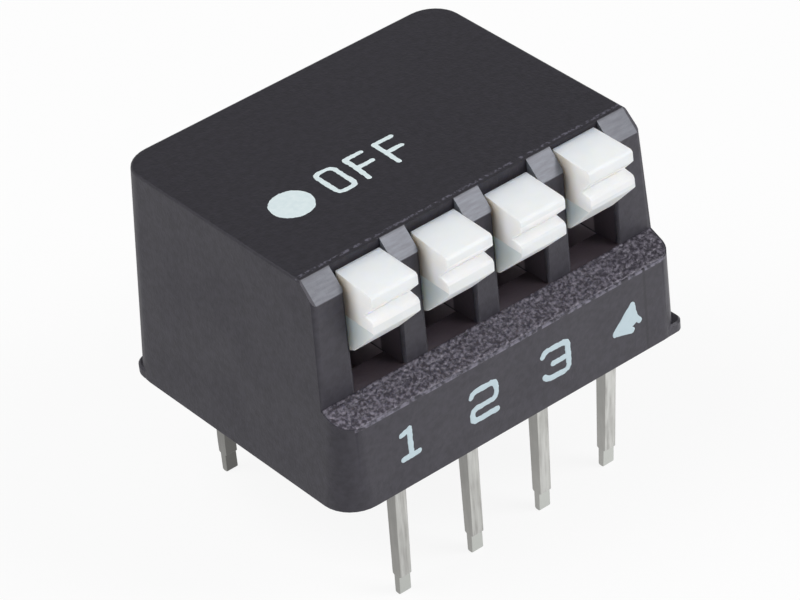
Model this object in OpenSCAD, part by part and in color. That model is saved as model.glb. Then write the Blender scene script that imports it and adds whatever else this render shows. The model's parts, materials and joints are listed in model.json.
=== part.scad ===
// Four-position side-actuated ("piano") DIP switch for through-hole mounting.
// Frame: X runs along the row of levers (lever 1 at -X), the levers face -Y, Z is up.
// Origin: centre of the eight-terminal pattern, on the seating plane under the housing.
// The levers are drawn in their OFF position, which is up.

/* [Terminal pattern] */
// Distance between neighbouring positions
pitch = 2.54; // [2.40:0.01:3.10]
// Distance between the front and rear terminal rows
row_space = 7.62; // [7.00:0.02:9.20]

/* [Housing] */
// Height of the housing above the seating plane
body_h = 7.0; // [6.9:0.1:8.6]
// End wall thickness at the top, beside the first and last lever
end_wall = 1.0; // [0.8:0.05:1.4]
// How far each end and the back lean out between top and foot
draft = 0.35; // [0.20:0.01:0.45]
// Front face, measured outwards from the front terminal row
front_over = 0.73; // [0.65:0.01:0.95]
// Back face at the foot, measured outwards from the rear terminal row
back_over = 1.48; // [1.30:0.02:1.80]
// Radius of the two rear vertical corners
rear_corner_r = 0.95; // [0.5:0.05:1.1]
// Radius of the left front vertical corner, at the foot
left_corner_r = 1.00; // [0.50:0.05:1.05]
// Radius of the right front vertical corner, at the foot
right_corner_r = 0.66; // [0.50:0.02:1.00]
// Radius both front corners taper to, carried up to the height of the top
front_corner_top_r = 0.20; // [0.05:0.05:0.50]
// Depth of the sloping ledge under the levers
ledge_d = 0.88; // [0.70:0.02:1.00]
// Drop of the ledge from the lever slots to the front face
ledge_drop = 0.42; // [0.20:0.02:0.50]
// Height of the ledge at the lever slots, above the seating plane
ledge_z = 3.15; // [3.00:0.05:3.20]
// Wall between the ledge's front and the hollow under it
ledge_wall = 0.53; // [0.45:0.01:0.60]
// Width of each lever slot
slot_w = 1.70; // [1.40:0.02:1.80]
// Size of the bevel along the top front edge of the slot walls
brow = 0.58; // [0.40:0.02:0.70]
// Thickness of the top
plate_t = 0.75; // [0.60:0.05:0.90]
// Depth of the flat sill inside each slot, behind the ledge
sill_d = 0.90; // [0.70:0.05:1.00]
// Back wall thickness at the top
back_wall = 0.73; // [0.60:0.01:0.90]
// Wall left round the base at the foot
foot_wall = 0.80; // [0.60:0.05:0.90]
// Front wall left in front of the front terminals
front_wall = 0.40; // [0.35:0.01:0.50]
// How far the low lip stands out beyond the right end
lip_out = 0.16; // [0.05:0.01:0.20]
// Height of that lip
lip_h = 0.32; // [0.24:0.02:0.60]
// Radius of the lip's right front corner
lip_front_r = 0.32; // [0.20:0.02:0.50]
// Radius of the lip's two rear corners
lip_rear_r = 0.56; // [0.30:0.02:0.80]

/* [Levers] */
// Angle a lever turns through from OFF (up) to ON (down), in degrees
lever_swing = 20; // [16:1:21]
// Side gap between a lever and its slot, each side
lever_gap = 0.06; // [0.03:0.01:0.08]
// Distance from the front of the slot walls back to the levers' pivot
pivot_back = 3.66; // [3.50:0.02:3.80]
// How far the nose stands out in front of the slot walls
head_out = 1.05; // [0.90:0.01:1.20]
// Height of the blunt nose, and of the lower ridge
nose_h = 0.29; // [0.20:0.01:0.34]
// Depth of the notch between the nose and the ridge
notch_d = 0.40; // [0.30:0.02:0.50]
// Radius of the lever's hub
hub_r = 1.20; // [1.10:0.05:1.30]
// Radius of the trunnions that the lever turns on
trunnion_r = 0.50; // [0.40:0.02:0.62]
// How far each trunnion reaches out of the lever's side
trunnion_l = 0.20; // [0.16:0.02:0.24]
// Radial clearance of a trunnion in its socket
trunnion_gap = 0.03; // [0.02:0.01:0.06]

/* [Contacts] */
// Radius of the contact ball
ball_r = 0.50; // [0.40:0.02:0.54]
// Radial clearance of the ball in its bore
ball_gap = 0.04; // [0.03:0.01:0.06]
// Wire diameter of the contact spring
wire_d = 0.11; // [0.08:0.01:0.14]
// Number of turns of the contact spring
spring_turns = 5; // [4:1:6]
// Gap between the contact arms of a front and a rear terminal
contact_gap = 0.35; // [0.25:0.01:0.45]

/* [Terminals] */
// Width of a terminal, along the row
term_w = 0.40; // [0.26:0.01:0.44]
// Thickness of a terminal's leg where it leaves the base
term_t = 0.42; // [0.34:0.01:0.46]
// Thickness of the leg just above its thinned tip
term_t_low = 0.36; // [0.26:0.01:0.40]
// Thickness of the thinned tip
tip_t = 0.22; // [0.10:0.01:0.24]
// Length of the thinned tip
tip_l = 0.60; // [0.40:0.02:0.70]
// Reach of the terminals below the seating plane
term_l = 4.05; // [3.2:0.05:4.6]
// Height of a contact arm
arm_h = 0.50; // [0.40:0.02:0.60]

/* [Base] */
// Thickness of the base plate
base_t = 1.25; // [1.10:0.01:1.30]
// Gap between the base and the housing, each side
base_gap = 0.05; // [0.03:0.01:0.08]
// Gap between a terminal and the slot in the base that holds it
term_gap = 0.01; // [0.01:0.01:0.02]

/* [Hidden] */

positions = 4;

// Thin overlap between joined shapes, and how far a cut runs past what it cuts
eps = 0.01;
past = 1;

// The base sits in a recess, inside walls that lean in by recess_lean up to its top
recess_top = base_t + base_gap;
recess_lean = draft * recess_top / body_h;
recess_wall = foot_wall + recess_lean;

// Places along Y
row_y = row_space / 2;
front_y = -row_y - front_over;
wall_y = front_y + ledge_d;
brow_y = wall_y + brow;
back_foot_y = row_y + back_over;
back_top_y = back_foot_y - draft;
sill_y = wall_y + sill_d;
recess_front_y = front_y + front_wall;
recess_back_y = back_foot_y - recess_wall;
pocket_back_y = back_top_y - back_wall;

// Places along Z: the contact arms lie under the ledge
arm_headroom = 0.25;
plate_z = body_h - plate_t;
ledge_front_z = ledge_z - ledge_drop;
under_ledge_z = ledge_front_z - ledge_wall;
arm_top = under_ledge_z - arm_headroom;

// Half lengths along X
slots_half = (positions - 1) * pitch / 2 + slot_w / 2;
top_half = slots_half + end_wall;
foot_half = top_half + draft;
recess_half = foot_half - recess_wall;

// The pivot sits as high as the hub allows under the top
hub_gap = 0.15;
pivot_y = wall_y + pivot_back;
pivot_z = plate_z - hub_gap - hub_r;
lever_w = slot_w - 2 * lever_gap;
socket_d = trunnion_l + lever_gap;

// The ball swings half the lever's travel to each side of straight down
ball_lift = 0.02;
ball_shows = 0.28;
ball_at = pivot_z - arm_top - ball_lift - ball_r;
on_y = pivot_y + ball_at * sin(lever_swing / 2);

// The stem is bored from below for the ball and its spring
bore_roof = 0.25;
stem_wall = 0.30;
stem_end = ball_at + ball_r - ball_shows;
bore_r = ball_r + ball_gap;
bore_top = trunnion_r + bore_roof;
stem_half = bore_r + stem_wall;

// Lever head, from the top down, in the OFF position
head_back_gap = 0.10;
head_top_drop = 0.21;
nose_drop = 0.32;
nose_edge = 0.07;
notch_rise = 0.09;
ridge_back = 0.02;
ridge_edge = 0.06;
head_back_y = brow_y - head_back_gap;
nose_y = wall_y - head_out;
nose_top = body_h - nose_drop;
nose_low = nose_top - nose_edge - nose_h;
notch_z = nose_low - notch_d;
ridge_y = nose_y + ridge_back;
ridge_top = notch_z - notch_rise;
ridge_low = ridge_top - ridge_edge - nose_h;

// The head's underside runs in at 45 degrees, then a step leads to the hub
chin = ridge_low - wall_y + ridge_y;
step_y = 0.30;
step_z = 0.12;
arm_low = 0.80;

function lever_x(i) = (i - (positions + 1) / 2) * pitch;

// ---- Shapes used more than once ----

// A side outline of [y, z] points, carried along X and centred on x
module across(x, w, points)
  translate([x, 0, 0])
    rotate([90, 0, 90])
      linear_extrude(w, center = true)
        polygon(points);

// A cylinder along X, centred on the pivot
module pivot_rod(x, r, w)
  translate([x, pivot_y, pivot_z])
    rotate([0, 90, 0])
      cylinder(r = r, h = w, center = true, $fn = 48);

// A box given by its lowest and highest corners
module box(low, high)
  translate(low)
    cube(high - low);

// Turns its children with the lever's stem, about the pivot
module with_stem(x)
  translate([x, pivot_y, pivot_z])
    rotate([-lever_swing / 2, 0, 0])
      children();

// ---- Housing ----

// One rounded upright of the drafted block: x, y and r at the foot, top_x, top_y and top_r at the top
module upright(x, y, r, top_x, top_y, top_r) {
  translate([x, y, 0])
    cylinder(r = r, h = eps, $fn = 32);
  translate([top_x, top_y, body_h - eps])
    cylinder(r = top_r, h = eps, $fn = 32);
}

// Outer block: upright front, ends and back that lean in towards the top
module block() {
  top_x = foot_half - draft - front_corner_top_r;
  top_y = front_y + front_corner_top_r;
  rear_x = foot_half - rear_corner_r;
  rear_y = back_foot_y - rear_corner_r;
  hull() {
    upright(-foot_half + left_corner_r, front_y + left_corner_r, left_corner_r,
            -top_x, top_y, front_corner_top_r);
    upright(foot_half - right_corner_r, front_y + right_corner_r, right_corner_r,
            top_x, top_y, front_corner_top_r);
    for (side = [-1, 1])
      upright(side * rear_x, rear_y, rear_corner_r,
              side * (rear_x - draft), rear_y - draft, rear_corner_r);
  }
}

// One corner of the lip, chamfered along its top
module lip_corner(x, y, r) {
  chamfer = 0.06;
  translate([x, y, 0]) {
    cylinder(r = r - chamfer, h = lip_h, $fn = 32);
    cylinder(r = r, h = lip_h - chamfer, $fn = 32);
  }
}

// Low lip at the foot: it stands out at the right end and squares up both rear corners
module lip() {
  tuck = 2 * draft * lip_h / body_h;
  rear_y = back_foot_y - tuck - lip_rear_r;
  hull() {
    lip_corner(foot_half + lip_out - lip_front_r, front_y + tuck + lip_front_r, lip_front_r);
    lip_corner(foot_half + lip_out - lip_rear_r, rear_y, lip_rear_r);
    lip_corner(-foot_half + tuck + lip_rear_r, rear_y, lip_rear_r);
    lip_corner(-foot_half + 2 * left_corner_r, front_y + tuck + left_corner_r, left_corner_r);
  }
}

// What is cut away above the ledge and along the brow
module front_cut()
  across(0, 2 * foot_half + 2 * past, [
    [front_y - past, ledge_front_z - past * ledge_drop / ledge_d],
    [wall_y, ledge_z],
    [wall_y, body_h - brow],
    [brow_y, body_h],
    [brow_y, body_h + past],
    [front_y - past, body_h + past]
  ]);

// The hollow of one position: a slot in front, a pocket behind, open below
module position_cut(x) {
  half = slot_w / 2;
  box([x - half, front_y - past, ledge_z], [x + half, brow_y, body_h + past]);
  box([x - half, front_y - past, ledge_z], [x + half, sill_y + eps, plate_z]);
  box([x - half, sill_y, recess_top - eps], [x + half, pocket_back_y, plate_z]);
  box([x - half, recess_front_y, recess_top - eps], [x + half, sill_y + eps, under_ledge_z]);
  pivot_rod(x, trunnion_r + trunnion_gap, slot_w + 2 * socket_d);
}

module housing()
  color("#38373d")
    difference() {
      union() {
        block();
        lip();
      }
      front_cut();
      for (i = [1 : positions])
        position_cut(lever_x(i));
      box([-recess_half, recess_front_y, -past], [recess_half, recess_back_y, recess_top]);
    }

// ---- Base with the terminals ----

rail_half = 0.60;
arm_stands = 0.10;
rail_top = arm_top - arm_stands;

module base()
  color("#2e2e32")
    difference() {
      union() {
        box([-recess_half + base_gap, recess_front_y + base_gap, 0],
            [recess_half - base_gap, recess_back_y - base_gap, base_t]);
        for (i = [1 : positions])
          box([lever_x(i) - rail_half, recess_front_y + base_gap, base_t - eps],
              [lever_x(i) + rail_half, pocket_back_y - base_gap, rail_top]);
      }
      for (i = [1 : positions]) {
        across(lever_x(i), term_w + 2 * term_gap, grown_slot(-1, on_y - contact_gap / 2));
        across(lever_x(i), term_w + 2 * term_gap, grown_slot(1, on_y + contact_gap / 2));
      }
    }

// Slot for one terminal: side is -1 for the front row, 1 for the rear row
function grown_slot(side, arm_end) =
  let (
    outer = side * (row_y + term_t / 2 + term_gap),
    inner = side * (row_y - term_t / 2 - term_gap),
    tip = arm_end - side * term_gap,
    low = arm_top - arm_h - term_gap
  ) [
    [outer, -past], [outer, arm_top + past], [tip, arm_top + past],
    [tip, low], [inner, low], [inner, -past]
  ];

// Side outline of one terminal: contact arm, leg and thinned tip
function terminal_outline(side, arm_end) =
  let (
    shoulder = -term_l + tip_l,
    outer = side * (row_y + term_t / 2),
    inner = side * (row_y - term_t / 2),
    low_out = side * (row_y + term_t_low / 2),
    low_in = side * (row_y - term_t_low / 2),
    tip_out = side * (row_y + tip_t / 2),
    tip_in = side * (row_y - tip_t / 2),
    slope = 0.04
  ) [
    [outer, arm_top], [arm_end, arm_top], [arm_end, arm_top - arm_h],
    [inner, arm_top - arm_h], [inner, 0], [low_in, shoulder + slope],
    [tip_in, shoulder], [tip_in, -term_l + slope], [tip_in + side * slope, -term_l],
    [tip_out - side * slope, -term_l], [tip_out, -term_l + slope],
    [tip_out, shoulder], [low_out, shoulder + slope], [outer, 0]
  ];

module front_terminal(i)
  color("#b9bab4")
    across(lever_x(i), term_w, terminal_outline(-1, on_y - contact_gap / 2));

module rear_terminal(i)
  color("#b9bab4")
    across(lever_x(i), term_w, terminal_outline(1, on_y + contact_gap / 2));

// ---- Levers ----

// Side outline of the head and arm, from the head's top back corner round to the hub
head_outline = [
  [head_back_y, body_h - head_top_drop],
  [nose_y + nose_edge, nose_top],
  [nose_y, nose_top - nose_edge],
  [nose_y, nose_low],
  [nose_y + notch_d, notch_z],
  [ridge_y + ridge_edge, ridge_top + ridge_edge / 2],
  [ridge_y, ridge_top - ridge_edge],
  [ridge_y, ridge_low],
  [wall_y, chin],
  [wall_y + step_y, chin - step_z],
  [pivot_y - arm_low, pivot_z - arm_low],
  [pivot_y, pivot_z - arm_low],
  [pivot_y, pivot_z + hub_r],
  [head_back_y, pivot_z + hub_r]
];

module lever(i) {
  x = lever_x(i);
  color("#e9ecec")
    difference() {
      union() {
        across(x, lever_w, head_outline);
        pivot_rod(x, hub_r, lever_w);
        pivot_rod(x, trunnion_r, lever_w + 2 * trunnion_l);
        with_stem(x)
          box([-lever_w / 2, -stem_half, -stem_end], [lever_w / 2, stem_half, 0]);
      }
      with_stem(x)
        translate([0, 0, -stem_end - past])
          cylinder(r = bore_r, h = stem_end + past - bore_top, $fn = 48);
    }
}

module contact_ball(i)
  color("#d8b45a")
    with_stem(lever_x(i))
      translate([0, 0, -ball_at])
        sphere(r = ball_r, $fn = 48);

// ---- Contact spring: a compression coil with closed ends, swept round the bore ----

spring_slack = 0.02;
coil_gap = 0.03;
coil_r = ball_r - coil_gap - wire_d / 2;
coil_low = ball_at - ball_r - spring_slack - wire_d / 2;
coil_high = bore_top + spring_slack + wire_d / 2;
steps_per_turn = 14;
ring_sides = 6;
ring_count = spring_turns * steps_per_turn;

// Rises with the angle, but stays flat over the first and last half turn
flat_turn = 0.5;
function coil_z(k) =
  let (t = min(max((k / steps_per_turn - flat_turn) / (spring_turns - 2 * flat_turn), 0), 1))
    -coil_low + (coil_low - coil_high) * t;

module contact_spring(i) {
  points = [
    for (k = [0 : ring_count], s = [0 : ring_sides - 1])
      let (
        turn = 360 * k / steps_per_turn,
        lap = 360 * s / ring_sides,
        r = coil_r + wire_d / 2 * cos(lap)
      ) [r * cos(turn), r * sin(turn), coil_z(k) + wire_d / 2 * sin(lap)]
  ];
  sides = [
    for (k = [0 : ring_count - 1], s = [0 : ring_sides - 1])
      let (
        a = k * ring_sides + s,
        b = k * ring_sides + (s + 1) % ring_sides
      ) [a, b, b + ring_sides, a + ring_sides]
  ];
  first = [for (s = [ring_sides - 1 : -1 : 0]) s];
  last = [for (s = [0 : ring_sides - 1]) ring_count * ring_sides + s];
  color("#c9cbcc")
    with_stem(lever_x(i))
      polyhedron(points, concat(sides, [first, last]));
}

housing();
base();
lever(1);  // lever_1
lever(2);  // lever_2
lever(3);  // lever_3
lever(4);  // lever_4
contact_ball(1);  // contact_ball_1
contact_ball(2);  // contact_ball_2
contact_ball(3);  // contact_ball_3
contact_ball(4);  // contact_ball_4
contact_spring(1);  // contact_spring_1
contact_spring(2);  // contact_spring_2
contact_spring(3);  // contact_spring_3
contact_spring(4);  // contact_spring_4
front_terminal(1);  // front_terminal_1
front_terminal(2);  // front_terminal_2
front_terminal(3);  // front_terminal_3
front_terminal(4);  // front_terminal_4
rear_terminal(1);  // rear_terminal_1
rear_terminal(2);  // rear_terminal_2
rear_terminal(3);  // rear_terminal_3
rear_terminal(4);  // rear_terminal_4
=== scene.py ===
# Finish for a four-position side-actuated DIP switch: bevels, moulded grain, print, plating, light
# and camera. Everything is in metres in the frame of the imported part: X along the row, the levers
# to -Y, Z up. Sizes are written in millimetres and multiplied by mm.
import json
import math
import bmesh
import bpy
import numpy as np
from mathutils import Matrix, Vector


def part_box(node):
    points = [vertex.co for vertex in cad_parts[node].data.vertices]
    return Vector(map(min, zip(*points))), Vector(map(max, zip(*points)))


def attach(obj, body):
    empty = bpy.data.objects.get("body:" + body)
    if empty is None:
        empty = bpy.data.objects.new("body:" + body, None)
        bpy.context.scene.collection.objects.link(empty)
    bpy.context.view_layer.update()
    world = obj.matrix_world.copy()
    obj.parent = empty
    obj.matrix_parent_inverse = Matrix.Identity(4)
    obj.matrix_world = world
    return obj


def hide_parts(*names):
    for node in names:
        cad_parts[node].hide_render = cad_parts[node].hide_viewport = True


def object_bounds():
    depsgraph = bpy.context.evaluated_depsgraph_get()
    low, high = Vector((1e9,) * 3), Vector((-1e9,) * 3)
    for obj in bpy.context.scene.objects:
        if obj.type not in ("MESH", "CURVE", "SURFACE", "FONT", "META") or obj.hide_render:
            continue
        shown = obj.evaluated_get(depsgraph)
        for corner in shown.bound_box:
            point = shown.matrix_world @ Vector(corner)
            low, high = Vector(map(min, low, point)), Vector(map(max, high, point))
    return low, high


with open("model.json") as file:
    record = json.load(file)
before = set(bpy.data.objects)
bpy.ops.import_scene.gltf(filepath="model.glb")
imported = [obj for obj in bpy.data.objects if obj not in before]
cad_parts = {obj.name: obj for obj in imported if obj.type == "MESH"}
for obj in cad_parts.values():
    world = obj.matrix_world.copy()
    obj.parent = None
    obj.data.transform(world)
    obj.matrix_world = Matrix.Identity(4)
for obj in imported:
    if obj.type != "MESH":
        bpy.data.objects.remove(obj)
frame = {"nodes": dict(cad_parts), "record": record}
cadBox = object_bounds()
mm = 0.001
positions = (1, 2, 3, 4)
print("frame loaded")


def linear(hexColour):
    # sRGB hex to the linear red, green, blue and alpha that sockets take
    parts = np.array([int(hexColour[i:i + 2], 16) for i in (1, 3, 5)]) / 255
    low = parts / 12.92
    high = ((parts + 0.055) / 1.055) ** 2.4
    return (*np.where(parts <= 0.04045, low, high).tolist(), 1.0)


def addNode(tree, kind, settings, inputs):
    # one node: settings are its own properties, and an input is a value or the socket linked to it;
    # on a mix, input 0 is the share, 2 and 3 are its numbers, and 6 and 7 its colours
    made = tree.nodes.new(kind)
    for name, value in settings.items():
        setattr(made, name, value)
    for name, value in inputs.items():
        if isinstance(value, bpy.types.NodeSocket):
            tree.links.new(value, made.inputs[name])
        else:
            made.inputs[name].default_value = value
    return made


def newMaterial(name):
    # an empty material, its node tree, and the Object coordinates its patterns read
    made = bpy.data.materials.new(name)
    made.use_nodes = True
    tree = made.node_tree
    tree.nodes.clear()
    place = addNode(tree, "ShaderNodeTexCoord", {}, {}).outputs["Object"]
    return made, tree, place


def finishMaterial(tree, shader):
    addNode(tree, "ShaderNodeOutputMaterial", {}, {"Surface": shader})


def setFinish(piece, material):
    piece.data.materials.clear()
    piece.data.materials.append(material)


tolerances = {
    "level": 0.012,  # mm within which a point is put on one of the levels
    "merge": 0.0002,  # mm within which two points become one
    "flat": 0.05,  # degrees that the triangles of one flat face may differ by
    "sharp": 20,  # degrees from which an edge is bevelled
    "smooth": 30}  # degrees up to which the shading runs over an edge


def mergedCopy(node, levels=()):
    # the node's mesh with its loose triangles joined and its flat faces made whole; points close
    # to one of the levels are first put on it
    work = bmesh.new()
    work.from_mesh(frame["nodes"][node].data)
    for v in work.verts:
        for level in levels:
            if abs(v.co.z - level) < tolerances["level"] * mm:
                v.co.z = level
    bmesh.ops.remove_doubles(work, verts=work.verts, dist=tolerances["merge"] * mm)
    bmesh.ops.dissolve_limit(work, angle_limit=math.radians(tolerances["flat"]),
                             verts=work.verts, edges=work.edges)
    return work


def beveledPiece(work, name, width, weigh, segments):
    # weigh gives the bevel's size in mm for a sharp edge, from the places of its ends; width is the largest
    layer = work.edges.layers.float.new("bevel_weight_edge")
    for edge in work.edges:
        if len(edge.link_faces) == 2 and edge.calc_face_angle(0) > math.radians(tolerances["sharp"]):
            a, b = (v.co / mm for v in edge.verts)
            edge[layer] = weigh(a, b) / width
    mesh = bpy.data.meshes.new(name)
    work.to_mesh(mesh)
    work.free()
    if "custom_normal" in mesh.attributes:
        mesh.attributes.remove(mesh.attributes["custom_normal"])
    mesh.shade_smooth()
    mesh.set_sharp_from_angle(angle=math.radians(tolerances["smooth"]))
    piece = bpy.data.objects.new(name, mesh)
    bpy.context.scene.collection.objects.link(piece)
    bevel = piece.modifiers.new("bevel", "BEVEL")
    bevel.limit_method = "WEIGHT"
    bevel.width = width * mm
    bevel.segments = segments
    bevel.use_clamp_overlap = False
    even = piece.modifiers.new("flat faces stay flat", "WEIGHTED_NORMAL")
    even.mode = "FACE_AREA"
    even.keep_sharp = True
    return piece


def gridPiece(name, points, keep):
    # points is rows x columns x 3; keep says which cells between them become faces
    rows, columns = points.shape[:2]
    index = np.arange(rows * columns).reshape(rows, columns)
    cells = np.stack([index[:-1, :-1], index[:-1, 1:], index[1:, 1:], index[1:, :-1]], -1)[keep]
    used, cells = np.unique(cells, return_inverse=True)
    mesh = bpy.data.meshes.new(name)
    mesh.from_pydata(points.reshape(-1, 3)[used], [], cells.reshape(-1, 4))
    mesh.shade_smooth()
    piece = bpy.data.objects.new(name, mesh)
    bpy.context.scene.collection.objects.link(piece)
    return piece


def backed(piece, thickness):
    # closes an open skin with a back a little way under it
    solid = piece.modifiers.new("back", "SOLIDIFY")
    solid.thickness = thickness * mm
    solid.offset = -1
    solid.use_even_offset = False


def smoothStep(x):
    x = np.clip(x, 0, 1)
    return x * x * (3 - 2 * x)


def latticeNoise(u, v, cell, seed):
    # random heights on a square lattice, blended between neighbours with an S-curve; -1 to 1
    wrap = 256  # cells before the lattice repeats
    table = np.random.default_rng(seed).uniform(-1, 1, (wrap, wrap))
    u, v = u / cell, v / cell
    column, row = np.floor(u).astype(int), np.floor(v).astype(int)
    s, t = smoothStep(u - column), smoothStep(v - row)
    left, right = column % wrap, (column + 1) % wrap
    front, rear = row % wrap, (row + 1) % wrap
    near = table[front, left] * (1 - s) + table[front, right] * s
    far = table[rear, left] * (1 - s) + table[rear, right] * s
    return near * (1 - t) + far * t


def within(tree, value, low, high, soft):
    # 1 while value is between low and high, with soft shoulders outside them; all in mm
    rise = addNode(tree, "ShaderNodeMapRange", {"interpolation_type": "SMOOTHSTEP"}, {
        "Value": value, "From Min": (low - soft) * mm, "From Max": low * mm})
    fall = addNode(tree, "ShaderNodeMapRange", {"interpolation_type": "SMOOTHSTEP"}, {
        "Value": value, "From Min": high * mm, "From Max": (high + soft) * mm, "To Min": 1.0, "To Max": 0.0})
    return addNode(tree, "ShaderNodeMath", {"operation": "MULTIPLY"}, {
        0: rise.outputs[0], 1: fall.outputs[0]}).outputs[0]


def region(tree, axes, limits):
    # 1 inside limits: for each axis named, the lowest, the highest and the shoulder outside them, in mm
    share = None
    for axis, (low, high, soft) in limits.items():
        band = within(tree, axes[axis], low, high, soft)
        if share is not None:
            band = addNode(tree, "ShaderNodeMath", {"operation": "MULTIPLY"}, {0: share, 1: band}).outputs[0]
        share = band
    return share


# where the housing looks different, in mm; most of these hold painted light and shade, and the last four are
# inside the slots
housingMarks = {
    "brow": {"Y": (-3.64, -3.10, 0.02), "Z": (6.44, 7.1, 0.02), "X": (-5.58, 5.58, 0.02)},
    "middle": {"X": (-4.4, 4.4, 0.4)},
    "top": {"Z": (6.97, 7.1, 0.02)},
    # painted highlight along the top's edge over the slots
    "topEdgeHighlight": {"Z": (6.97, 7.1, 0.02), "Y": (-2.96, -2.90, 0.04)},
    # painted highlight along the ledge's front
    "ledgeRimHighlight": {"Y": (-4.58, -4.50, 0.01), "Z": (2.67, 2.80, 0.02)},
    "witnessLine": {"Y": (-4.6, -4.5, 0.02), "X": (4.73, 4.77, 0.05)},
    "sill": {"X": (-4.7, 4.7, 0.02), "Z": (3.10, 3.17, 0.02), "Y": (-3.64, -2.75, 0.02)},
    "mouth": {"X": (-4.7, 4.7, 0.02), "Z": (3.17, 6.2, 0.02), "Y": (-3.50, -2.70, 0.10)},
    "hollow": {"X": (-4.7, 4.7, 0.02), "Z": (3.17, 6.2, 0.02), "Y": (-2.60, 4.0, 0.10)},
    "deep": {"X": (-4.7, 4.7, 0.02), "Z": (1.2, 3.1, 0.02), "Y": (-2.74, 4.0, 0.02)}}


def housingPlastic():
    # glass-filled polyester, injection moulded in a finely spark-eroded cavity: almost black, with
    # a faint grain that breaks up the reflection; frosted on the brow, with a painted highlight there, a
    # little darker on top as painted shade, with painted highlights along two edges, and painted paler
    # inside the slots as painted light
    made, tree, place = newMaterial("glass-filled polyester, black")
    axes = addNode(tree, "ShaderNodeSeparateXYZ", {}, {0: place}).outputs
    marks = {name: region(tree, axes, limits) for name, limits in housingMarks.items()}
    stretched = addNode(tree, "ShaderNodeMapping", {}, {
        "Vector": place, "Scale": (0.2, 1.0, 1.0)}).outputs[0]  # five times as long along X
    noise = {}
    for name, where, size, detail in (
            ("grain", place, 0.09, 3.0), ("flow", place, 1.6, 2.0), ("mottle", place, 0.2, 5.0),
            ("scored", stretched, 0.1, 3.0), ("speckle", place, 0.08, 4.0), ("rimFlecks", place, 0.16, 3.0)):
        noise[name] = addNode(tree, "ShaderNodeTexNoise", {}, {
            "Vector": where, "Scale": 1 / (size * mm), "Detail": detail}).outputs["Fac"]

    spread = addNode(tree, "ShaderNodeMapRange", {}, {
        "Value": noise["mottle"], "From Min": 0.35, "From Max": 0.65})
    tone = addNode(tree, "ShaderNodeMix", {"data_type": "RGBA"}, {
        0: spread.outputs[0], 6: linear("#222027"), 7: linear("#2e2c34")})
    # the brow's frosting carries a painted highlight, weaker towards the ends and broken by a speckle
    ends = addNode(tree, "ShaderNodeMapRange", {}, {"Value": marks["middle"], "To Min": 0.75, "To Max": 1.0})
    brow = addNode(tree, "ShaderNodeMath", {"operation": "MULTIPLY"}, {0: marks["brow"], 1: ends.outputs[0]})
    speck = addNode(tree, "ShaderNodeMapRange", {}, {
        "Value": noise["scored"], "From Min": 0.35, "From Max": 0.65, "To Min": 0.65, "To Max": 1.0})
    marks["brow"] = addNode(tree, "ShaderNodeMath", {"operation": "MULTIPLY"}, {
        0: brow.outputs[0], 1: speck.outputs[0]}).outputs[0]
    # the top is painted a little darker, painted shade
    marks["top"] = addNode(tree, "ShaderNodeMapRange", {}, {
        "Value": marks["top"], "To Max": 0.35}).outputs[0]
    # the painted highlights along the top's edge over the slots and along the ledge's front are broken into
    # flecks
    for name, pattern, low, high in (("topEdgeHighlight", "speckle", 0.45, 0.62), ("ledgeRimHighlight", "rimFlecks", 0.35, 0.65)):
        flecked = addNode(tree, "ShaderNodeMapRange", {"interpolation_type": "SMOOTHSTEP"}, {
            "Value": noise[pattern], "From Min": low, "From Max": high})
        marks[name] = addNode(tree, "ShaderNodeMath", {"operation": "MULTIPLY"}, {
            0: marks[name], 1: flecked.outputs[0]}).outputs[0]
    # the slot's mouth, hollow, deep floor and sill are painted paler, painted light that lifts the shade
    # inside the slots
    for name, colour in (
            ("brow", "#6f747c"), ("top", "#17161a"), ("topEdgeHighlight", "#5c5a66"), ("ledgeRimHighlight", "#767380"),
            ("witnessLine", "#1a181e"), ("mouth", "#413a40"), ("hollow", "#92878e"), ("deep", "#c0b4bb"),
            ("sill", "#40373d")):
        tone = addNode(tree, "ShaderNodeMix", {"data_type": "RGBA"}, {
            0: marks[name], 6: tone.outputs[2], 7: linear(colour)})

    rough = addNode(tree, "ShaderNodeMapRange", {}, {
        "Value": noise["flow"], "From Min": 0.3, "From Max": 0.7, "To Min": 0.44, "To Max": 0.52})
    rough = addNode(tree, "ShaderNodeMix", {"data_type": "FLOAT"}, {
        0: brow.outputs[0], 2: rough.outputs[0], 3: 0.36})
    bump = addNode(tree, "ShaderNodeBump", {}, {
        "Height": noise["grain"], "Strength": 0.35, "Distance": 0.02 * mm})
    shader = addNode(tree, "ShaderNodeBsdfPrincipled", {}, {
        "Base Color": tone.outputs[2], "Roughness": rough.outputs[0], "IOR": 1.52, "Normal": bump.outputs[0],
        "Specular Tint": (0.94, 0.92, 1.0, 1.0)})
    finishMaterial(tree, shader.outputs[0])
    return made


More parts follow.
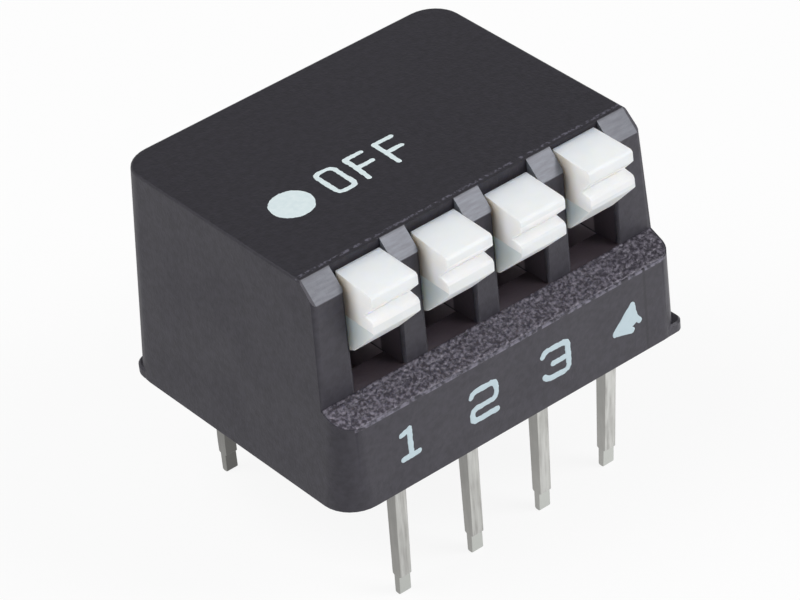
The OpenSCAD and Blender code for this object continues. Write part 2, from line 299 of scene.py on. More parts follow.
def ledgePlastic():
    # the same plastic where the cavity was eroded coarsely: the tips of the grain are painted paler, a
    # painted highlight where they catch the light
    made, tree, place = newMaterial("glass-filled polyester, coarse grain")
    fine = addNode(tree, "ShaderNodeTexNoise", {}, {
        "Vector": place, "Scale": 1 / (0.10 * mm), "Detail": 3.0})
    tips = addNode(tree, "ShaderNodeMapRange", {"interpolation_type": "SMOOTHSTEP"}, {
        "Value": fine.outputs["Fac"], "From Min": 0.38, "From Max": 0.75})
    tone = addNode(tree, "ShaderNodeMix", {"data_type": "RGBA"}, {
        0: tips.outputs[0], 6: linear("#332f38"), 7: linear("#7b7682")})
    bump = addNode(tree, "ShaderNodeBump", {}, {
        "Height": fine.outputs["Fac"], "Strength": 0.8, "Distance": 0.04 * mm})
    shader = addNode(tree, "ShaderNodeBsdfPrincipled", {}, {
        "Base Color": tone.outputs[2], "Roughness": 0.38, "IOR": 1.52, "Normal": bump.outputs[0],
        "Specular Tint": (0.94, 0.92, 1.0, 1.0)})
    finishMaterial(tree, shader.outputs[0])
    return made


baseMarks = {"plate": (1.24, 3.0, 0.02)}  # heights of the plate's upper face, with a soft shoulder, mm


def basePlastic():
    # the same polyester from a plain milled cavity: smoother and a little glossier, and painted paler on
    # the plate's upper face, deep in the slots, as painted light that lifts the shade there
    made, tree, place = newMaterial("polyester, black, plain")
    broad = addNode(tree, "ShaderNodeTexNoise", {}, {
        "Vector": place, "Scale": 1 / (0.8 * mm), "Detail": 3.0})
    tone = addNode(tree, "ShaderNodeMix", {"data_type": "RGBA"}, {
        0: broad.outputs["Fac"], 6: linear("#1d1c20"), 7: linear("#242328")})
    height = addNode(tree, "ShaderNodeSeparateXYZ", {}, {0: place}).outputs["Z"]
    # painted light: the plate's upper face is made pale to lift the shade deep in the slots
    tone = addNode(tree, "ShaderNodeMix", {"data_type": "RGBA"}, {
        0: within(tree, height, *baseMarks["plate"]), 6: tone.outputs[2], 7: linear("#8c8088")})
    shader = addNode(tree, "ShaderNodeBsdfPrincipled", {}, {
        "Base Color": tone.outputs[2], "Roughness": 0.38, "IOR": 1.52})
    finishMaterial(tree, shader.outputs[0])
    return made


leverMarks = {
    "notch": (5.78, 6.34, 0.05),  # heights of the notch, with a soft shoulder, mm; painted paler there to lift its shade
    "ridge": (0.0, 5.50, 0.03),  # heights of the sides at the lower ridge and under it, where painted shade darkens them
    "wall": (-4.25, -3.5)}  # painted shade darkens the sides between these two, along Y, where the walls come near


def leverPlastic():
    # acetal, moulded, white: satin, and light bleeds a little way through its edges; light and shade are
    # painted on its sides and in its notch
    made, tree, place = newMaterial("acetal, white")
    cloud = addNode(tree, "ShaderNodeTexNoise", {}, {
        "Vector": place, "Scale": 1 / (0.7 * mm), "Detail": 2.0})
    tone = addNode(tree, "ShaderNodeMix", {"data_type": "RGBA"}, {
        0: cloud.outputs["Fac"], 6: linear("#e6eaec"), 7: linear("#eff2f3")})
    # the sides are painted whiter, painted light
    across = addNode(tree, "ShaderNodeSeparateXYZ", {}, {
        0: addNode(tree, "ShaderNodeNewGeometry", {}, {}).outputs["Normal"]}).outputs["X"]
    onSide = addNode(tree, "ShaderNodeMath", {"operation": "ABSOLUTE"}, {0: across})
    onSide = addNode(tree, "ShaderNodeMapRange", {"interpolation_type": "SMOOTHSTEP"}, {
        "Value": onSide.outputs[0], "From Min": 0.75, "From Max": 0.95})
    axes = addNode(tree, "ShaderNodeSeparateXYZ", {}, {0: place}).outputs
    tone = addNode(tree, "ShaderNodeMix", {"data_type": "RGBA"}, {
        0: onSide.outputs[0], 6: tone.outputs[2], 7: linear("#fbfcfc")})
    # the notch is painted paler, painted light that lifts its shade
    tone = addNode(tree, "ShaderNodeMix", {"data_type": "RGBA"}, {
        0: within(tree, axes["Z"], *leverMarks["notch"]), 6: tone.outputs[2], 7: linear("#fdfdfd")})
    # warm painted shade on the sides where the walls come near
    nearWall = addNode(tree, "ShaderNodeMapRange", {"interpolation_type": "SMOOTHSTEP"}, {
        "Value": axes["Y"],
        "From Min": leverMarks["wall"][0] * mm, "From Max": leverMarks["wall"][1] * mm})
    nearWall = addNode(tree, "ShaderNodeMath", {"operation": "MULTIPLY"}, {
        0: onSide.outputs[0], 1: nearWall.outputs[0]})
    tone = addNode(tree, "ShaderNodeMix", {"data_type": "RGBA"}, {
        0: nearWall.outputs[0], 6: tone.outputs[2], 7: linear("#c4bdb3")})
    # painted shade on the sides at the lower ridge and under it
    under = addNode(tree, "ShaderNodeMath", {"operation": "MULTIPLY"}, {
        0: onSide.outputs[0], 1: within(tree, axes["Z"], *leverMarks["ridge"])})
    tone = addNode(tree, "ShaderNodeMix", {"data_type": "RGBA"}, {
        0: under.outputs[0], 6: tone.outputs[2], 7: linear("#d8e1e4")})
    bump = addNode(tree, "ShaderNodeBump", {}, {
        "Height": cloud.outputs["Fac"], "Strength": 0.1, "Distance": 0.02 * mm})
    shader = addNode(tree, "ShaderNodeBsdfPrincipled", {}, {
        "Base Color": tone.outputs[2], "Roughness": 0.55, "IOR": 1.48, "Normal": bump.outputs[0],
        "Subsurface Weight": 0.9, "Subsurface Radius": (1.0, 0.88, 0.72), "Subsurface Scale": 1.0 * mm})
    finishMaterial(tree, shader.outputs[0])
    return made


inkMarks = {"numbers": (-4.7, -4.5, 0.02)}  # where along Y the ink is bluer, with a soft shoulder, mm


def printInk():
    # pad-printed epoxy ink: flat bluish white, slightly thin in places; bluer for the numbers
    made, tree, place = newMaterial("pad-printing ink, white")
    patch = addNode(tree, "ShaderNodeTexNoise", {}, {
        "Vector": place, "Scale": 1 / (0.15 * mm), "Detail": 3.0})
    tone = addNode(tree, "ShaderNodeMix", {"data_type": "RGBA"}, {
        0: patch.outputs["Fac"], 6: linear("#d0e0e4"), 7: linear("#e6f1f2")})
    axes = addNode(tree, "ShaderNodeSeparateXYZ", {}, {0: place}).outputs
    tone = addNode(tree, "ShaderNodeMix", {"data_type": "RGBA"}, {
        0: within(tree, axes["Y"], *inkMarks["numbers"]), 6: tone.outputs[2], 7: linear("#c6d8e0")})
    shader = addNode(tree, "ShaderNodeBsdfPrincipled", {}, {
        "Base Color": tone.outputs[2], "Roughness": 0.6, "IOR": 1.5})
    finishMaterial(tree, shader.outputs[0])
    return made


legMarks = {
    "tip": (-4.2, -3.44, 0.03),  # heights of the pressed tip, with a soft shoulder, mm
    "inner": (-2.2, -3.4)}  # faces that look inwards get painted shade between these distances from the middle


def tinPlate():
    # brass strip, stamped and tin-plated: dull bright, with drawn streaks down the leg, greyer
    # sheared sides, a freshly pressed tip, and painted shade on the faces where the two rows face each other
    # under the body
    made, tree, place = newMaterial("tin plate on brass")
    stretched = addNode(tree, "ShaderNodeMapping", {}, {
        "Vector": place, "Scale": (1.0, 1.0, 0.08)}).outputs[0]  # 12.5 times as long down the leg
    drawn = addNode(tree, "ShaderNodeTexNoise", {}, {
        "Vector": stretched, "Scale": 1 / (0.11 * mm), "Detail": 3.0})
    blotch = addNode(tree, "ShaderNodeTexNoise", {}, {
        "Vector": place, "Scale": 1 / (0.5 * mm), "Detail": 3.0})
    lines = addNode(tree, "ShaderNodeMapRange", {}, {
        "Value": drawn.outputs["Fac"], "From Min": 0.35, "From Max": 0.65})
    tone = addNode(tree, "ShaderNodeMix", {"data_type": "RGBA"}, {
        0: lines.outputs[0], 6: linear("#9b9a97"), 7: linear("#bcbcb9")})
    patchy = addNode(tree, "ShaderNodeMapRange", {}, {
        "Value": blotch.outputs["Fac"], "From Min": 0.4, "From Max": 0.9})
    tone = addNode(tree, "ShaderNodeMix", {"data_type": "RGBA"}, {
        0: patchy.outputs[0], 6: tone.outputs[2], 7: linear("#b6b7b3")})
    axes = addNode(tree, "ShaderNodeSeparateXYZ", {}, {0: place}).outputs
    tone = addNode(tree, "ShaderNodeMix", {"data_type": "RGBA"}, {
        0: within(tree, axes["Z"], *legMarks["tip"]), 6: tone.outputs[2], 7: linear("#b6b8b4")})
    facing = addNode(tree, "ShaderNodeSeparateXYZ", {}, {
        0: addNode(tree, "ShaderNodeNewGeometry", {}, {}).outputs["Normal"]}).outputs
    sheared = addNode(tree, "ShaderNodeMapRange", {"interpolation_type": "SMOOTHSTEP"}, {
        "Value": addNode(tree, "ShaderNodeMath", {"operation": "ABSOLUTE"}, {0: facing["X"]}).outputs[0],
        "From Min": 0.55, "From Max": 0.9, "To Max": 0.85})
    tone = addNode(tree, "ShaderNodeMix", {"data_type": "RGBA"}, {
        0: sheared.outputs[0], 6: tone.outputs[2], 7: linear("#8b8a87")})
    # painted shade on the faces that look in under the body
    inward = addNode(tree, "ShaderNodeMath", {"operation": "MULTIPLY"}, {0: facing["Y"], 1: axes["Y"]})
    shaded = addNode(tree, "ShaderNodeMapRange", {"interpolation_type": "SMOOTHSTEP"}, {
        "Value": inward.outputs[0],
        "From Min": legMarks["inner"][0] * mm, "From Max": legMarks["inner"][1] * mm})
    tone = addNode(tree, "ShaderNodeMix", {"data_type": "RGBA"}, {
        0: shaded.outputs[0], 6: tone.outputs[2], 7: linear("#6c6b69")})
    rough = addNode(tree, "ShaderNodeMapRange", {}, {
        "Value": blotch.outputs["Fac"], "From Min": 0.3, "From Max": 0.7, "To Min": 0.3, "To Max": 0.42})
    bump = addNode(tree, "ShaderNodeBump", {}, {
        "Height": drawn.outputs["Fac"], "Strength": 0.25, "Distance": 0.01 * mm})
    shader = addNode(tree, "ShaderNodeBsdfPrincipled", {}, {
        "Base Color": tone.outputs[2], "Metallic": 1.0, "Roughness": rough.outputs[0],
        "Normal": bump.outputs[0]})
    finishMaterial(tree, shader.outputs[0])
    return made


def goldPlate():
    # rolled ball, nickel under gold: a bright mirror with a few fine scuffs
    made, tree, place = newMaterial("gold plate on nickel")
    speckle = addNode(tree, "ShaderNodeTexNoise", {}, {
        "Vector": place, "Scale": 1 / (0.1 * mm), "Detail": 4.0})
    rough = addNode(tree, "ShaderNodeMapRange", {}, {
        "Value": speckle.outputs["Fac"], "From Min": 0.35, "From Max": 0.75, "To Min": 0.12, "To Max": 0.25})
    shader = addNode(tree, "ShaderNodeBsdfPrincipled", {}, {
        "Base Color": linear("#e6c17a"), "Metallic": 1.0, "Roughness": rough.outputs[0]})
    finishMaterial(tree, shader.outputs[0])
    return made


def springWire():
    # stainless wire drawn through a die: bright grey with a soft drawn sheen
    made, tree, place = newMaterial("stainless spring wire")
    drawn = addNode(tree, "ShaderNodeTexNoise", {}, {
        "Vector": place, "Scale": 1 / (0.05 * mm), "Detail": 3.0})
    rough = addNode(tree, "ShaderNodeMapRange", {}, {
        "Value": drawn.outputs["Fac"], "From Min": 0.3, "From Max": 0.7, "To Min": 0.22, "To Max": 0.34})
    shader = addNode(tree, "ShaderNodeBsdfPrincipled", {}, {
        "Base Color": linear("#b9babc"), "Metallic": 1.0, "Roughness": rough.outputs[0]})
    finishMaterial(tree, shader.outputs[0])
    return made


finishes = {
    "housing": housingPlastic(), "ledge": ledgePlastic(), "base": basePlastic(), "lever": leverPlastic(),
    "ink": printInk(), "terminal": tinPlate(), "ball": goldPlate(), "spring": springWire()}
print("materials made")


housingPiece = {
    "rim": 0.07,  # round along the top's outer edges, mm
    "wallEdge": 0.10,  # down the front edges of the slot walls
    "endEdge": 0.13,  # down the front edges of the two end walls
    "ledgeEdge": 0.035,  # along the ledge's front
    "foot": 0.03,  # round the foot
    "segments": 3,
    # how its edges are told apart, mm
    "close": 0.02,  # a point this close to a face is on it
    "short": 0.1,  # edges under this length stay sharp, up to the ledge
    "tall": 0.5,  # upright edges rise by more than this
    "ledgeTilt": (0.3, 0.8),  # the ledge's faces look forward and up by more than these, out of 1
    "ledgeReach": 1.2,  # and lie within this much of the front
    "endWall": 0.5,  # the end walls' front edges are within this much of the ends
    "browEnd": 0.6,  # the brows' edges start this far in from the ends
    "browBack": -2.9,  # and lie in front of this, along Y
    "outline": (0.55, 0.3)}  # the foot's outline is within this of the ends, and of the front and back


def makeHousing():
    p = housingPiece
    low, high = (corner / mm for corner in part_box("housing"))
    work = mergedCopy("housing", (0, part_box("housing")[1].z))
    forward, upward = p["ledgeTilt"]
    corners = [v.co / mm for f in work.faces for v in f.verts  # of the ledge's faces
               if f.normal.z > upward and f.normal.y < -forward
               and f.calc_center_median().y / mm < low.y + p["ledgeReach"]]
    ledgeFront = min(v.y for v in corners)
    wallFront = max(v.y for v in corners)
    ledgeLow = min(v.z for v in corners)
    ledgeHigh = max(v.z for v in corners)

    def weigh(a, b):
        mid = (a + b) / 2
        fromEnd = high.x - abs(mid.x)
        if (a - b).length < p["short"] and mid.z < ledgeHigh + p["close"]:
            return 0
        top = min(a.z, b.z) > high.z - p["close"]
        upright = abs(a.z - b.z) > p["tall"]
        onWall = abs(mid.y - wallFront) < p["close"] and mid.z > ledgeLow
        if top and not (fromEnd > p["browEnd"] and mid.y < p["browBack"]):
            return p["rim"]
        if onWall and upright:
            return p["endEdge"] if fromEnd < p["endWall"] else p["wallEdge"]
        if max(a.y, b.y) < low.y + p["close"] and abs(mid.z - ledgeLow) < p["close"]:
            return p["ledgeEdge"]
        fromFace = min(mid.y - low.y, high.y - mid.y)
        onOutline = fromEnd < p["outline"][0] or fromFace < p["outline"][1]
        if max(a.z, b.z) < p["close"] and onOutline:
            return p["foot"]
        return 0

    piece = beveledPiece(work, "housing_moulding", p["endEdge"], weigh, p["segments"])
    setFinish(piece, finishes["housing"])
    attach(piece, "case")
    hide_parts("housing")
    return {"front": ledgeFront, "wall": wallFront, "low": ledgeLow, "high": ledgeHigh,
            "outline": np.array([(v.x, v.y) for v in corners])}


ledge = makeHousing()
print("housing made", {k: v for k, v in ledge.items() if k != "outline"})

ledgeGrain = {
    "step": 0.024,  # mm between grid points
    "depth": 0.011,  # about half the height of the grain
    "spacing": (0.12, 0.06),  # of its coarse and fine bumps
    "lift": 1.6,  # how far its middle height stands over the ledge, in depths
    "share": 0.7,  # of the depth that each of the two sizes of bump takes
    "seeds": (11, 12),
    "inset": 0.02,  # smooth margin left along the front and at the ends, mm
    "endReach": 1.1,  # the ledge's ends are traced from its corners this close to them
    "feather": 0.05,  # width over which the grain dies out at its borders
    "sunk": 0.012,  # how far its borders lie under the ledge
    "back": 0.03}  # thickness of the skin


def makeLedgeGrain():
    # height over the ledge's plane = depth times (lift plus a share of each of two lattice noises);
    # a feather along the borders brings it down to a little under the plane
    p = ledgeGrain
    rows = int((ledge["wall"] - ledge["front"]) / p["step"])
    y = np.linspace(ledge["front"] + p["inset"], ledge["wall"], rows)
    ends = []
    for side in (-1, 1):
        outer = ledge["outline"][:, 0].max() - p["endReach"]
        end = ledge["outline"][ledge["outline"][:, 0] * side > outer]
        end = end[np.argsort(end[:, 1])]
        ends.append(np.interp(y, end[:, 1], end[:, 0]) - side * p["inset"])
    left, right = ends
    columns = int((right - left).max() / p["step"])
    share = np.linspace(0, 1, columns)
    across = left[:, None] + (right - left)[:, None] * share
    along = np.repeat(y[:, None], columns, 1)
    slope = (ledge["high"] - ledge["low"]) / (ledge["wall"] - ledge["front"])
    flat = ledge["low"] + (along - ledge["front"]) * slope
    coarse, fine = (latticeNoise(across, along, cell, seed) for cell, seed in zip(p["spacing"], p["seeds"]))
    height = p["depth"] * (p["lift"] + p["share"] * coarse + p["share"] * fine)
    border = np.minimum(np.minimum(across - left[:, None], right[:, None] - across), along - y[0])
    lifted = flat - p["sunk"] + (height + p["sunk"]) * smoothStep(border / p["feather"])
    points = np.stack([across, along, lifted], -1) * mm
    piece = gridPiece("ledge_grain", points, np.ones((rows - 1, columns - 1), bool))
    backed(piece, p["back"])
    setFinish(piece, finishes["ledge"])
    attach(piece, "case")


makeLedgeGrain()
print("ledge grain made")


printPiece = {
    "thickness": 0.012,  # mm of ink
    "step": 0.02,  # mm between grid points
    "ragged": 0.02,  # how far the ink's edge wanders
    "wander": (0.06, 0.17),  # spacing of its small and large wanderings
    "shoulder": 0.04,  # the ink rises to its thickness over this width
    "sunk": 0.35,  # how far its edge starts under the face, as a share of the thickness
    "margin": 1.5,  # grid steps kept round the ink
    "back": 0.004,  # thickness of the skin
    "digitStroke": 0.165,
    "digitRise": 1.39,  # height of the middle of the numbers above the seating plane
    "digitField": ((-0.5, -0.7), (0.9, 0.75)),  # two corners of the grid that each is cut from
    "digitSeed": 20,
    "wordStroke": 0.14,
    "wordField": ((-2.6, -0.9), (0.5, 0.7)),
    "wordSeed": 40}

# each glyph is a list of pen strokes, in mm from the middle of its place
digits = {
    1: [[(-0.16, 0.41), (0.06, 0.46), (0.12, 0.50)], [(0.11, 0.50), (0.12, -0.39)],
        [(-0.16, -0.39), (0.37, -0.39)]],
    2: [[(-0.28, 0.34), (-0.24, 0.43), (-0.10, 0.47), (0.43, 0.47), (0.56, 0.42), (0.60, 0.30), (0.60, 0.08),
         (0.55, -0.03), (0.42, -0.08), (-0.10, -0.08), (-0.24, -0.13), (-0.29, -0.24), (-0.28, -0.40),
         (-0.20, -0.47), (0.58, -0.47)]],
    3: [[(-0.27, 0.34), (-0.20, 0.43), (-0.08, 0.46), (0.44, 0.46), (0.58, 0.42), (0.62, 0.30),
         (0.62, -0.38), (0.56, -0.46), (0.44, -0.49), (-0.04, -0.48), (-0.18, -0.43), (-0.26, -0.34)],
        [(0.08, -0.04), (0.60, -0.04)]],
    4: [[(-0.22, -0.24), (0.46, 0.40)], [(0.46, 0.40), (0.50, 0.12), (0.56, -0.08), (0.68, -0.25)],
        [(-0.20, -0.28), (0.40, -0.43)], [(0.0, -0.18), (0.42, 0.20)],
        [(0.12, -0.25), (0.48, -0.02)], [(0.15, -0.30), (0.46, -0.20)], [(0.26, 0.04), (0.40, 0.14)]]}
offWord = [
    [(-2.35, 0.30), (-2.30, 0.42), (-2.20, 0.46), (-1.93, 0.46), (-1.81, 0.42), (-1.76, 0.30),
     (-1.76, -0.52), (-1.81, -0.64), (-1.93, -0.68), (-2.20, -0.68), (-2.30, -0.64), (-2.35, -0.52),
     (-2.35, 0.30)],
    [(-1.35, -0.68), (-1.31, -0.20), (-1.30, 0.44), (-0.73, 0.44)], [(-1.30, -0.10), (-0.76, -0.10)],
    [(-0.30, -0.66), (-0.27, 0.44), (0.31, 0.44)], [(-0.28, -0.10), (0.25, -0.10)]]
dot = {"centre": (-3.59, -0.17), "radius": 0.64, "field": ((-4.4, -1.0), (-2.8, 0.7)), "seed": 50}


def strokeDistance(u, v, strokes):
    # distance from each point to the nearest straight piece of any stroke
    nearest = np.full(u.shape, np.inf)
    for stroke in strokes:
        for (au, av), (bu, bv) in zip(stroke, stroke[1:]):
            du, dv = bu - au, bv - av
            t = np.clip(((u - au) * du + (v - av) * dv) / (du * du + dv * dv), 0, 1)
            nearest = np.minimum(nearest, np.hypot(u - au - t * du, v - av - t * dv))
    return nearest


def inkPiece(name, field, seed, place, inside):
    # the ink's height is an S-curve of the depth inside the glyph's edge, which two lattice noises
    # make ragged; place(u, v, lift) puts it on its face
    p = printPiece
    low, high = field
    u, v = np.meshgrid(np.arange(low[0], high[0], p["step"]), np.arange(low[1], high[1], p["step"]))
    small, large = (latticeNoise(u, v, cell, seed + k) for k, cell in enumerate(p["wander"]))
    depth = inside(u, v) + p["ragged"] * (small + large) / 2
    lift = p["thickness"] * (smoothStep(depth / p["shoulder"] + 0.5) * (1 + p["sunk"]) - p["sunk"])
    solid = depth > -p["margin"] * p["step"]
    keep = solid[:-1, :-1] | solid[:-1, 1:] | solid[1:, 1:] | solid[1:, :-1]
    piece = gridPiece(name, np.stack(place(u, v, lift), -1) * mm, keep)
    backed(piece, p["back"])
    setFinish(piece, finishes["ink"])
    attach(piece, "case")


def makePrint():
    p = printPiece
    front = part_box("housing")[0].y / mm
    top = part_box("housing")[1].z / mm
    for k in positions:
        low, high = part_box(f"lever_{k}")
        middle = (low.x + high.x) / 2 / mm
        inkPiece(f"printed_{k}", p["digitField"], p["digitSeed"] + 2 * k,
                 lambda u, v, lift: (u + middle, front - lift, v + p["digitRise"]),
                 lambda u, v: p["digitStroke"] / 2 - strokeDistance(u, v, digits[k]))
    inkPiece("printed_off", p["wordField"], p["wordSeed"], lambda u, v, lift: (u, v, top + lift),
             lambda u, v: p["wordStroke"] / 2 - strokeDistance(u, v, offWord))
    inkPiece("printed_dot", dot["field"], dot["seed"], lambda u, v, lift: (u, v, top + lift),
             lambda u, v: dot["radius"] - np.hypot(u - dot["centre"][0], v - dot["centre"][1]))


makePrint()
print("print made")


def bevelAll(width):
    return lambda a, b: width


basePiece = {
    "foot": 0.02,  # round on the rim of the underside, mm
    "segments": 2,
    "close": 0.01}  # a point this close to a side is on it


def makeBase():
    # only the rim of the underside is rounded: the walls beside the terminal slots are too thin
    p = basePiece
    low, high = (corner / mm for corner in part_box("base"))

    def weigh(a, b):
        onRim = any(max(abs(a[k] - side[k]), abs(b[k] - side[k])) < p["close"]
                    for k in (0, 1) for side in (low, high))
        return p["foot"] if onRim and max(a.z, b.z) < p["close"] else 0

    piece = beveledPiece(mergedCopy("base"), "base_moulding", p["foot"], weigh, p["segments"])
    setFinish(piece, finishes["base"])
    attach(piece, "case")
    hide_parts("base")


leverPiece = {
    "edge": 0.024,  # round on every edge, mm
    "segments": 2,
    "neck": 1.55,  # the head reaches this far back from the nose
    "cut": 0.1,  # a cut this far in front of the neck is where the lean ends
    "nose": 0.7,  # the sides are parallel for this much from the nose
    "taper": 0.05,  # and then each runs in by this much up to the neck
    "lean": {1: -0.3, 2: 0.3, 3: 1.2, 4: -1.9},  # degrees that the play lets each head lean forward
    "aside": {1: 0.01, 2: 0.0, 3: -0.025, 4: -0.045}}  # mm that it lets each stand aside, along X


def makeLever(k):
    # the head's sides run in towards the neck, and the head gets its own lean within the play
    p = leverPiece
    low, high = (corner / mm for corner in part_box(f"lever_{k}"))
    joint = next(j for j in frame["record"]["behaviour"]["joints"] if j["child"] == f"rocker_{k}")
    middle, pivotY, pivotZ = (c / mm for c in joint["pos_m"])
    neck = low.y + p["neck"]
    work = mergedCopy(f"lever_{k}")
    bmesh.ops.bisect_plane(work, geom=work.verts[:] + work.edges[:] + work.faces[:],
                           plane_co=Vector((0, neck - p["cut"], 0)) * mm, plane_no=(0, 1, 0))
    lean = math.radians(p["lean"][k])
    for v in work.verts:
        x, y, z = v.co / mm
        if y > neck:
            continue
        inward = p["taper"] * min(max((y - low.y - p["nose"]) / (p["neck"] - p["nose"]), 0), 1)
        x -= math.copysign(inward, x - middle) - p["aside"][k]
        y, z = y - pivotY, z - pivotZ
        y, z = y * math.cos(lean) - z * math.sin(lean), y * math.sin(lean) + z * math.cos(lean)
        v.co = Vector((x, y + pivotY, z + pivotZ)) * mm
    piece = beveledPiece(work, f"lever_moulding_{k}", p["edge"], bevelAll(p["edge"]), p["segments"])
    setFinish(piece, finishes["lever"])
    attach(piece, f"rocker_{k}")
    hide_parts(f"lever_{k}")


terminalPiece = {
    "edge": 0.025,  # round on every edge, mm
    "segments": 2,
    "sections": (-0.3, -0.8, -1.3, -1.8, -2.4, -3.0),  # heights at which a leg is cut so that it can bend
    # mm along X and Y that handling has pushed a leg's tip, and the depth from which it has moved by all
    # of that
    "bent": {"front_terminal_1": (-0.07, 0.08, 4.05), "front_terminal_2": (-0.04, 0.04, 4.05),
             "front_terminal_3": (-0.04, 0.12, 4.05), "front_terminal_4": (0.0, 0.34, 4.05),
             "rear_terminal_1": (-0.10, 0.28, 2.6)}}


def makeTerminal(node):
    p = terminalPiece
    work = mergedCopy(node)
    for z in p["sections"]:
        bmesh.ops.bisect_plane(work, geom=work.verts[:] + work.edges[:] + work.faces[:],
                               plane_co=(0, 0, z * mm), plane_no=(0, 0, 1))
    along, back, depth = p["bent"].get(node, (0, 0, 1))  # straight when it isn't named
    for v in work.verts:
        share = min(max(-v.co.z / mm / depth, 0), 1)
        v.co += Vector((along, back, 0)) * share * mm
    name = node.replace("terminal", "leg")
    piece = beveledPiece(work, name, p["edge"], bevelAll(p["edge"]), p["segments"])
    setFinish(piece, finishes["terminal"])
    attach(piece, "case")
    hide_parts(node)


makeBase()
for k in positions:
    makeLever(k)
    makeTerminal(f"front_terminal_{k}")
    makeTerminal(f"rear_terminal_{k}")
    setFinish(frame["nodes"][f"contact_ball_{k}"], finishes["ball"])
    setFinish(frame["nodes"][f"contact_spring_{k}"], finishes["spring"])
print("base, levers, terminals and contacts made")


# where each softbox stands from the part, its side and distance in mm, and its power in watts
softboxes = {
    "front": {"toward": (0.48, -0.58, 0.66), "size": 130, "distance": 300, "power": 0.44},
    "overhead": {"toward": (-0.50, 0.25, 0.83), "size": 200, "distance": 300, "power": 0.50}}

studio = {
    "floorSize": 6000,  # mm along each side
    "floorLift": 0.9,  # share of plain white that the floor shows to all but diffuse light
    "pool": (0.66, -0.75),  # a painted pool of light and shadow in the floor's reflection: brightest on this side of the part
    "poolReach": 12,  # mm to each side over which it fades
    "poolLevels": (0.70, 1.40),  # its strength on the other side and on this one
    "airHeights": (0.1, 0.5),  # the air dims upwards between these two, where straight up is 1
    "airLevels": (1.0, 0.16)}  # its strength below them and above

view = {
    "azimuth": -35.85, "elevation": 35.42, "roll": -6.03,  # degrees
    "distance": 115.47, "lens": 189.37, "aim": (-0.71, -0.61, 2.58)}  # millimetres


def makeFloor():
    # matt paper: diffuse for light, and mostly plain white to the eye, glossy and transmission rays
    half = studio["floorSize"] / 2
    z = cadBox[0][2] / mm
    corners = [(-half, -half, z), (half, -half, z), (half, half, z), (-half, half, z)]
    mesh = bpy.data.meshes.new("floor")
    mesh.from_pydata([Vector(c) * mm for c in corners], [], [(0, 1, 2, 3)])
    floor = bpy.data.objects.new("floor", mesh)
    bpy.context.scene.collection.objects.link(floor)
    made, tree, place = newMaterial("white paper")
    path = addNode(tree, "ShaderNodeLightPath", {}, {})
    back = addNode(tree, "ShaderNodeNewGeometry", {}, {}).outputs["Backfacing"]
    seen = addNode(tree, "ShaderNodeMath", {"operation": "MAXIMUM"}, {
        0: path.outputs["Is Camera Ray"], 1: path.outputs["Is Glossy Ray"]})
    seen = addNode(tree, "ShaderNodeMath", {"operation": "MAXIMUM"}, {
        0: seen.outputs[0], 1: path.outputs["Is Transmission Ray"]})
    share = addNode(tree, "ShaderNodeMath", {"operation": "MULTIPLY"}, {
        0: seen.outputs[0], 1: studio["floorLift"]})
    matt = addNode(tree, "ShaderNodeBsdfDiffuse", {}, {"Color": linear("#f2f2f2")})
    # glossy rays see the floor as a painted pool of light and shadow: lighter where the front softbox falls,
    # darker where the part's shadow falls
    across = addNode(tree, "ShaderNodeVectorMath", {"operation": "DOT_PRODUCT"}, {
        0: place, 1: (*studio["pool"], 0)})
    reach = studio["poolReach"] * mm
    pool = addNode(tree, "ShaderNodeMapRange", {"interpolation_type": "SMOOTHSTEP"}, {
        "Value": across.outputs["Value"], "From Min": -reach, "From Max": reach,
        "To Min": studio["poolLevels"][0], "To Max": studio["poolLevels"][1]})
    level = addNode(tree, "ShaderNodeMix", {"data_type": "FLOAT"}, {
        0: path.outputs["Is Glossy Ray"], 2: 1.0, 3: pool.outputs[0]})
    plain = addNode(tree, "ShaderNodeEmission", {}, {"Color": (1, 1, 1, 1), "Strength": level.outputs[0]})
    both = addNode(tree, "ShaderNodeMixShader", {}, {
        0: share.outputs[0], 1: matt.outputs[0], 2: plain.outputs[0]})
    clear = addNode(tree, "ShaderNodeBsdfTransparent", {}, {})
    under = addNode(tree, "ShaderNodeMixShader", {}, {0: back, 1: both.outputs[0], 2: clear.outputs[0]})
    finishMaterial(tree, under.outputs[0])
    setFinish(floor, made)


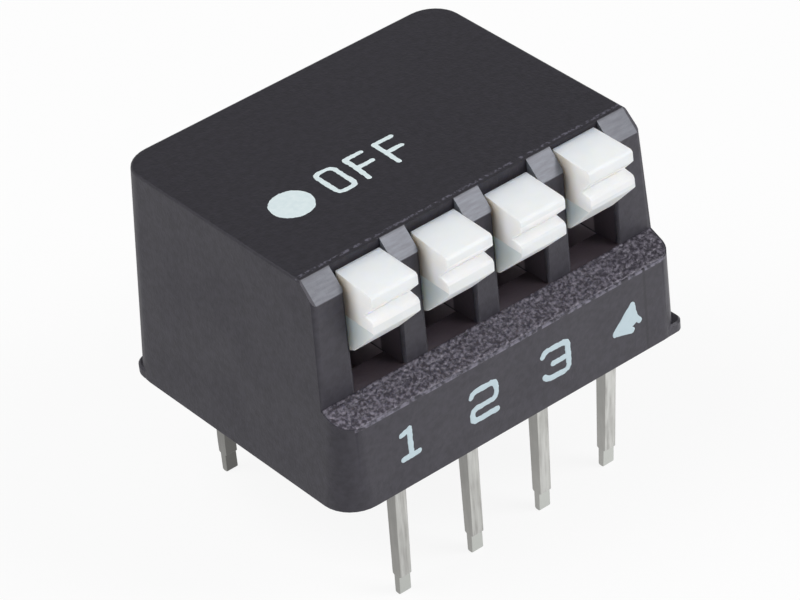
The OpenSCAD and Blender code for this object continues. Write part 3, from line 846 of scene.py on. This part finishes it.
def makeLight():
    # soft boxes in front and overhead, and air that is pale low down and dim overhead
    for name, p in softboxes.items():
        lamp = bpy.data.lights.new(name, "AREA")
        lamp.shape = "SQUARE"
        lamp.size = p["size"] * mm
        lamp.energy = p["power"]
        box = bpy.data.objects.new(name, lamp)
        bpy.context.scene.collection.objects.link(box)
        toward = Vector(p["toward"]).normalized()
        box.location = toward * p["distance"] * mm
        box.rotation_euler = toward.to_track_quat("Z", "Y").to_euler()
    air = bpy.data.worlds.new("studio air")
    air.use_nodes = True
    tree = air.node_tree
    tree.nodes.clear()
    toward = addNode(tree, "ShaderNodeTexCoord", {}, {}).outputs["Generated"]
    height = addNode(tree, "ShaderNodeSeparateXYZ", {}, {0: toward}).outputs["Z"]
    level = addNode(tree, "ShaderNodeMapRange", {"interpolation_type": "SMOOTHSTEP"}, {
        "Value": height, "From Min": studio["airHeights"][0], "From Max": studio["airHeights"][1],
        "To Min": studio["airLevels"][0], "To Max": studio["airLevels"][1]})
    glow = addNode(tree, "ShaderNodeBackground", {}, {"Color": (1, 1, 1, 1), "Strength": level.outputs[0]})
    addNode(tree, "ShaderNodeOutputWorld", {}, {"Surface": glow.outputs[0]})
    bpy.context.scene.world = air


def makeCamera():
    azimuth, elevation, roll = (math.radians(view[k]) for k in ("azimuth", "elevation", "roll"))
    back = Vector((math.sin(azimuth) * math.cos(elevation), -math.cos(azimuth) * math.cos(elevation),
                   math.sin(elevation)))
    level = Vector((math.cos(azimuth), math.sin(azimuth), 0))
    raised = back.cross(level)
    right = math.cos(roll) * level + math.sin(roll) * raised
    up = back.cross(right)
    lens = bpy.data.cameras.new("camera")
    lens.lens = view["lens"]
    lens.sensor_width = 36
    lens.clip_start = 10 * mm
    camera = bpy.data.objects.new("camera", lens)
    bpy.context.scene.collection.objects.link(camera)
    turn = Matrix((right, up, back)).transposed().to_4x4()
    place = (Vector(view["aim"]) + back * view["distance"]) * mm
    camera.matrix_world = Matrix.Translation(place) @ turn
    bpy.context.scene.camera = camera


makeFloor()
makeLight()
makeCamera()
bpy.context.scene.view_settings.view_transform = "Standard"
print("floor, light and camera made")
